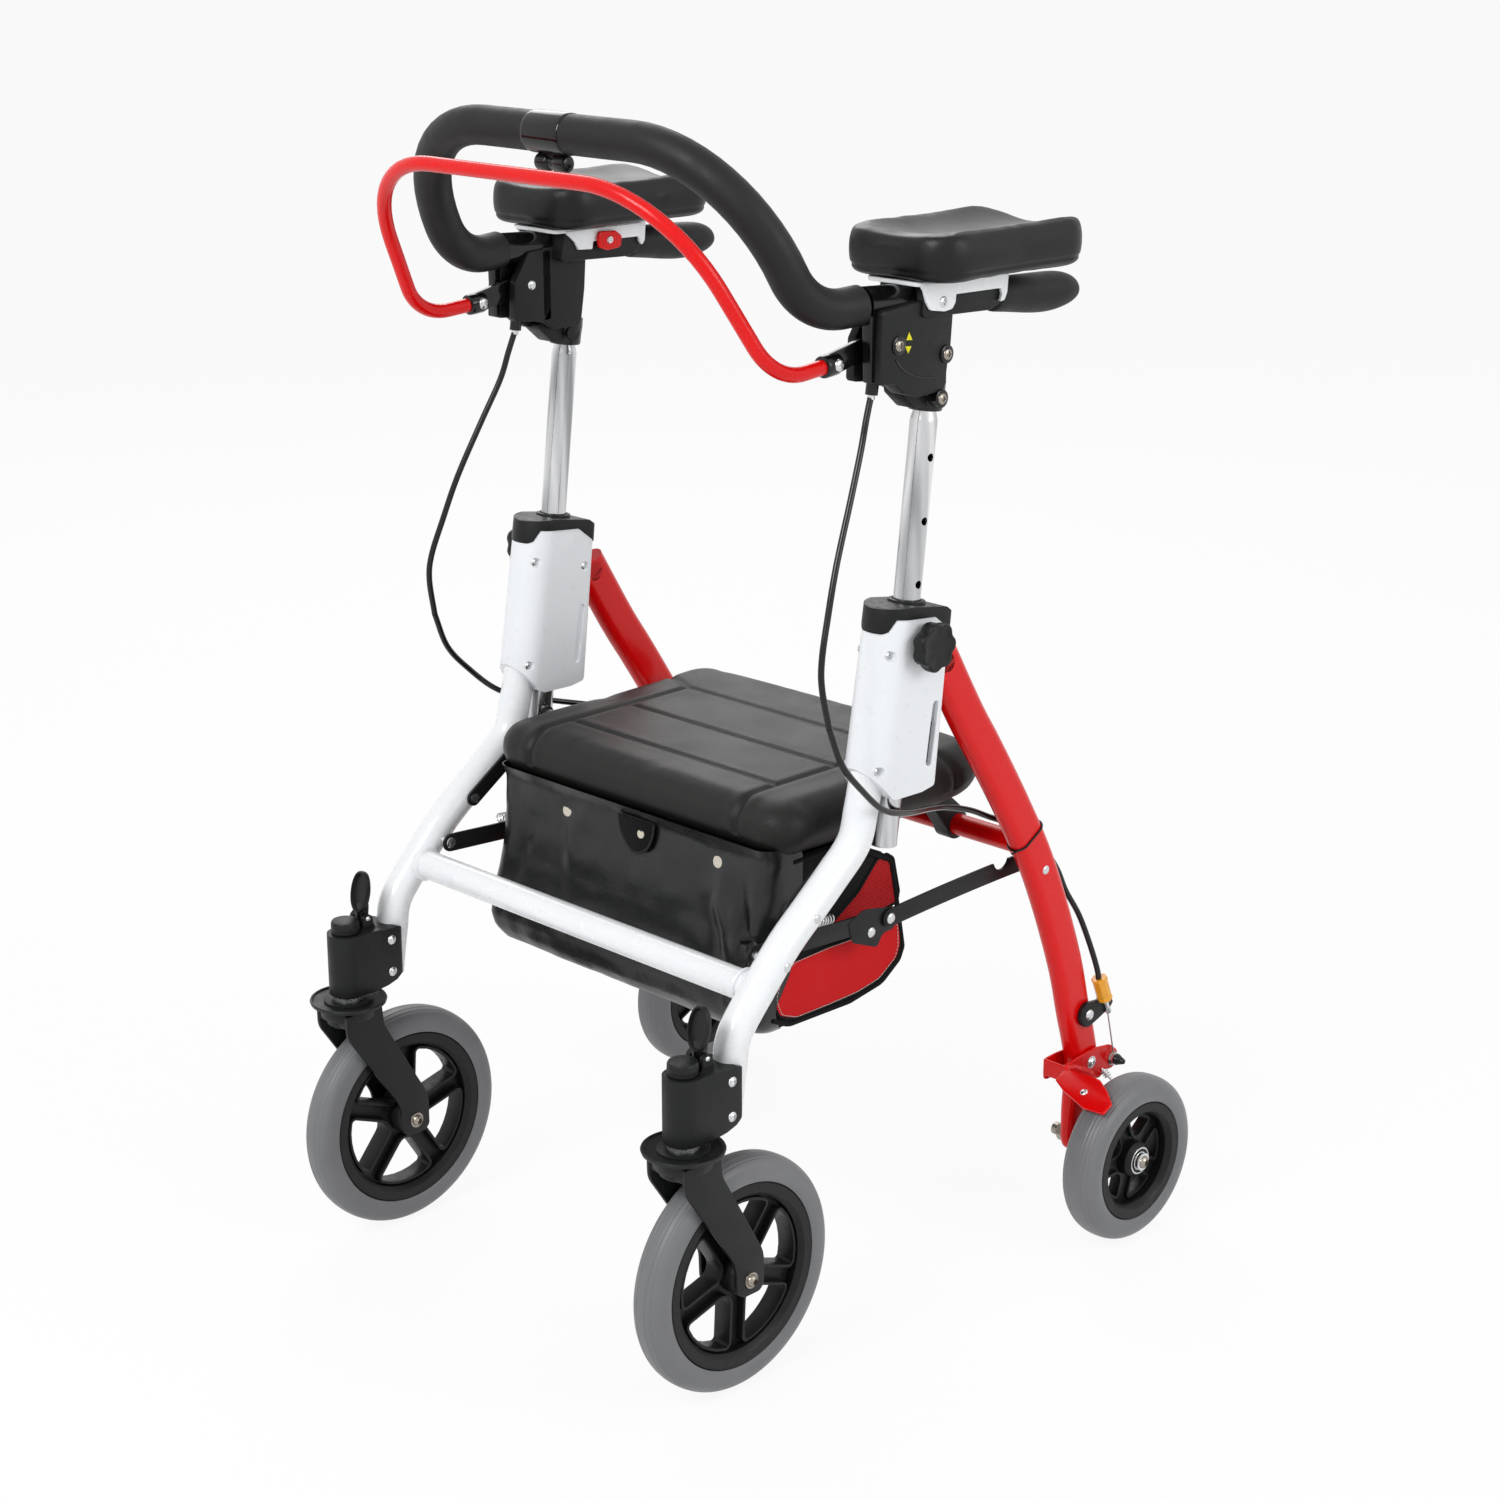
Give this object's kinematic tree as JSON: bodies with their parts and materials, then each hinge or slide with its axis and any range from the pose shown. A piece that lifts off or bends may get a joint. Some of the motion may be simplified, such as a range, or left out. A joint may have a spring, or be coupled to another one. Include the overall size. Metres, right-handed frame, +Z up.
{
  "type": "wheeled walker",
  "caption": "Folding wheeled walker with padded forearm rests, bent handle with brake bar, padded seat over a carry bag, swivel front casters and braked rear wheels.",
  "frame": {"origin": "on the floor, in the middle of the walker's footprint", "axes": "+Z up; the front of the walker, with its casters and brake bar, faces -Y; +X is the user's left"},
  "size_m": [0.5914, 0.6068, 0.995],
  "materials": {
    "white_paint": "gloss white paint",
    "white_plastic": "gloss white moulding",
    "red_paint": "gloss red paint",
    "black_paint": "satin black paint",
    "black_plastic": "satin black moulding",
    "black_cast": "black coated casting",
    "black_gloss": "gloss black",
    "black_metal": "black coated tube",
    "aluminium": "polished",
    "steel": "bright wire",
    "tyre": "grey rubber with fine tread",
    "foam": "closed-cell foam, matt black",
    "vinyl": "satin black vinyl",
    "fabric": "woven black cloth with red mesh sides"
  },
  "bodies": {
    "front_frame": {"front_tube_left": "white_paint", "front_tube_right": "white_paint", "housing_left": "white_plastic", "housing_right": "white_plastic", "housing_cap_left": "black_plastic", "housing_cap_right": "black_plastic", "caster_bracket_left": "black_paint", "caster_bracket_right": "black_paint", "cable_upper_left": "black_gloss", "cable_upper_right": "black_gloss", "front_crossbar": "white_paint", "bag": "fabric"},
    "rear_frame": {"rear_leg_left": "red_paint", "rear_leg_right": "red_paint", "cable_clip_left": "black_plastic", "cable_clip_right": "black_plastic", "cable_lower_left": "black_gloss", "cable_lower_right": "black_gloss", "rear_crossbar": "red_paint"},
    "seat": {"seat": "vinyl"},
    "handle": {"post_left": "aluminium", "post_right": "aluminium", "handle_block_left": "black_cast", "handle_block_right": "black_cast", "hand_grip_left": "black_plastic", "hand_grip_right": "black_plastic", "pad_bracket_left": "white_paint", "pad_bracket_right": "white_paint", "arm_pad_left": "vinyl", "arm_pad_right": "vinyl", "handle_tube": "black_metal", "handle_foam": "foam", "handle_sleeve": "black_gloss"},
    "brake_bar": {"brake_bar": "red_paint"},
    "brace_front_left": {"brace_front_left": "black_paint", "brace_spring_left": "steel"},
    "brace_rear_left": {"brace_rear_left": "black_paint"},
    "seat_link_left": {"seat_link_left": "black_paint"},
    "caster_left": {"caster_fork_left": "black_paint"},
    "front_wheel_left": {"front_hub_left": "black_plastic", "front_tyre_left": "tyre"},
    "rear_wheel_left": {"rear_hub_left": "black_plastic", "rear_tyre_left": "tyre"},
    "swivel_lock_left": {"swivel_lock_left": "black_plastic"},
    "brake_arm_left": {"brake_arm_left": "red_paint"},
    "height_knob_left": {"height_knob_left": "black_plastic"},
    "pad_lever_left": {"pad_lever_left": "red_paint"},
    "brace_front_right": {"brace_front_right": "black_paint", "brace_spring_right": "steel"},
    "brace_rear_right": {"brace_rear_right": "black_paint"},
    "seat_link_right": {"seat_link_right": "black_paint"},
    "caster_right": {"caster_fork_right": "black_paint"},
    "front_wheel_right": {"front_hub_right": "black_plastic", "front_tyre_right": "tyre"},
    "rear_wheel_right": {"rear_hub_right": "black_plastic", "rear_tyre_right": "tyre"},
    "swivel_lock_right": {"swivel_lock_right": "black_plastic"},
    "brake_arm_right": {"brake_arm_right": "red_paint"},
    "height_knob_right": {"height_knob_right": "black_plastic"},
    "pad_lever_right": {"pad_lever_right": "red_paint"}
  },
  "joints": [
    {"name": "fold", "type": "hinge", "parent": "front_frame", "child": "rear_frame", "pos_m": [0, 0.009, 0.5713], "axis": [-1, 0, 0], "range_deg": [0, 24], "deforming": ["cable_upper_left", "cable_upper_right"]},
    {"name": "seat_hinge", "type": "hinge", "parent": "rear_frame", "child": "seat", "pos_m": [0, 0.152, 0.371], "axis": [-1, 0, 0], "range_deg": [0, 3.1]},
    {"name": "height", "type": "slide", "parent": "front_frame", "child": "handle", "axis": [0, 0.1147, 0.9934], "range_m": [-0.05, 0.1], "deforming": ["cable_upper_left", "cable_upper_right"]},
    {"name": "brake_bar_hinge", "type": "hinge", "parent": "handle", "child": "brake_bar", "pos_m": [0, -0.042, 0.8258], "axis": [-1, 0, 0], "range_deg": [0, 10]},
    {"name": "brace_front_left_hinge", "type": "hinge", "parent": "front_frame", "child": "brace_front_left", "pos_m": [0.188, -0.155, 0.3505], "axis": [1, 0, 0], "range_deg": [0, 39.8]},
    {"name": "brace_rear_left_hinge", "type": "hinge", "parent": "rear_frame", "child": "brace_rear_left", "pos_m": [0.1912, 0.1673, 0.347], "axis": [-1, 0, 0], "range_deg": [0, 35]},
    {"name": "seat_link_left_hinge", "type": "hinge", "parent": "front_frame", "child": "seat_link_left", "pos_m": [0.1949, -0.1215, 0.382], "axis": [1, 0, 0], "range_deg": [0, 30.5]},
    {"name": "caster_left_swivel", "type": "hinge", "parent": "front_frame", "child": "caster_left", "pos_m": [0.211, -0.2556, 0.24], "axis": [0, 0, 1], "continuous": true},
    {"name": "front_wheel_left_spin", "type": "hinge", "parent": "caster_left", "child": "front_wheel_left", "pos_m": [0.211, -0.2034, 0.1], "axis": [1, 0, 0], "continuous": true},
    {"name": "rear_wheel_left_spin", "type": "hinge", "parent": "rear_frame", "child": "rear_wheel_left", "pos_m": [0.2728, 0.2279, 0.0755], "axis": [1, 0, 0], "continuous": true},
    {"name": "swivel_lock_left_hinge", "type": "hinge", "parent": "front_frame", "child": "swivel_lock_left", "pos_m": [0.211, -0.238, 0.2977], "axis": [-1, 0, 0], "range_deg": [0, 25]},
    {"name": "brake_arm_left_hinge", "type": "hinge", "parent": "rear_frame", "child": "brake_arm_left", "pos_m": [0.211, 0.236, 0.1475], "axis": [1, 0, 0], "range_deg": [0, 4], "stiffness_Nm_per_rad": 2},
    {"name": "height_knob_left_turn", "type": "hinge", "parent": "front_frame", "child": "height_knob_left", "pos_m": [0.24, -0.0112, 0.5864], "axis": [1, 0, 0], "continuous": true},
    {"name": "pad_lever_left_hinge", "type": "hinge", "parent": "handle", "child": "pad_lever_left", "pos_m": [0.177, 0.0325, 0.859], "axis": [1, 0, 0], "range_deg": [0, 20]},
    {"name": "brace_front_right_hinge", "type": "hinge", "parent": "front_frame", "child": "brace_front_right", "pos_m": [-0.188, -0.155, 0.3505], "axis": [1, 0, 0], "range_deg": [0, 39.8]},
    {"name": "brace_rear_right_hinge", "type": "hinge", "parent": "rear_frame", "child": "brace_rear_right", "pos_m": [-0.1912, 0.1673, 0.347], "axis": [-1, 0, 0], "range_deg": [0, 35]},
    {"name": "seat_link_right_hinge", "type": "hinge", "parent": "front_frame", "child": "seat_link_right", "pos_m": [-0.1949, -0.1215, 0.382], "axis": [1, 0, 0], "range_deg": [0, 30.5]},
    {"name": "caster_right_swivel", "type": "hinge", "parent": "front_frame", "child": "caster_right", "pos_m": [-0.211, -0.2556, 0.24], "axis": [0, 0, 1], "continuous": true},
    {"name": "front_wheel_right_spin", "type": "hinge", "parent": "caster_right", "child": "front_wheel_right", "pos_m": [-0.211, -0.2034, 0.1], "axis": [1, 0, 0], "continuous": true},
    {"name": "rear_wheel_right_spin", "type": "hinge", "parent": "rear_frame", "child": "rear_wheel_right", "pos_m": [-0.2728, 0.2279, 0.0755], "axis": [1, 0, 0], "continuous": true},
    {"name": "swivel_lock_right_hinge", "type": "hinge", "parent": "front_frame", "child": "swivel_lock_right", "pos_m": [-0.211, -0.238, 0.2977], "axis": [-1, 0, 0], "range_deg": [0, 25]},
    {"name": "brake_arm_right_hinge", "type": "hinge", "parent": "rear_frame", "child": "brake_arm_right", "pos_m": [-0.211, 0.236, 0.1475], "axis": [1, 0, 0], "range_deg": [0, 4], "stiffness_Nm_per_rad": 2},
    {"name": "height_knob_right_turn", "type": "hinge", "parent": "front_frame", "child": "height_knob_right", "pos_m": [-0.24, -0.0112, 0.5864], "axis": [1, 0, 0], "continuous": true},
    {"name": "pad_lever_right_hinge", "type": "hinge", "parent": "handle", "child": "pad_lever_right", "pos_m": [-0.177, 0.0325, 0.859], "axis": [1, 0, 0], "range_deg": [0, 20]}
  ],
  "couplings": [
    {"joint": "seat_hinge", "follows": "fold", "ratio": 0.1267},
    {"joint": "brace_front_left_hinge", "follows": "fold", "ratio": 1.6496},
    {"joint": "brace_rear_left_hinge", "follows": "fold", "ratio": 1.4488},
    {"joint": "seat_link_left_hinge", "follows": "fold", "ratio": 1.2613},
    {"joint": "brake_arm_left_hinge", "follows": "brake_bar_hinge", "ratio": 0.38},
    {"joint": "brace_front_right_hinge", "follows": "fold", "ratio": 1.6496},
    {"joint": "brace_rear_right_hinge", "follows": "fold", "ratio": 1.4488},
    {"joint": "seat_link_right_hinge", "follows": "fold", "ratio": 1.2613},
    {"joint": "brake_arm_right_hinge", "follows": "brake_bar_hinge", "ratio": 0.38}
  ]
}
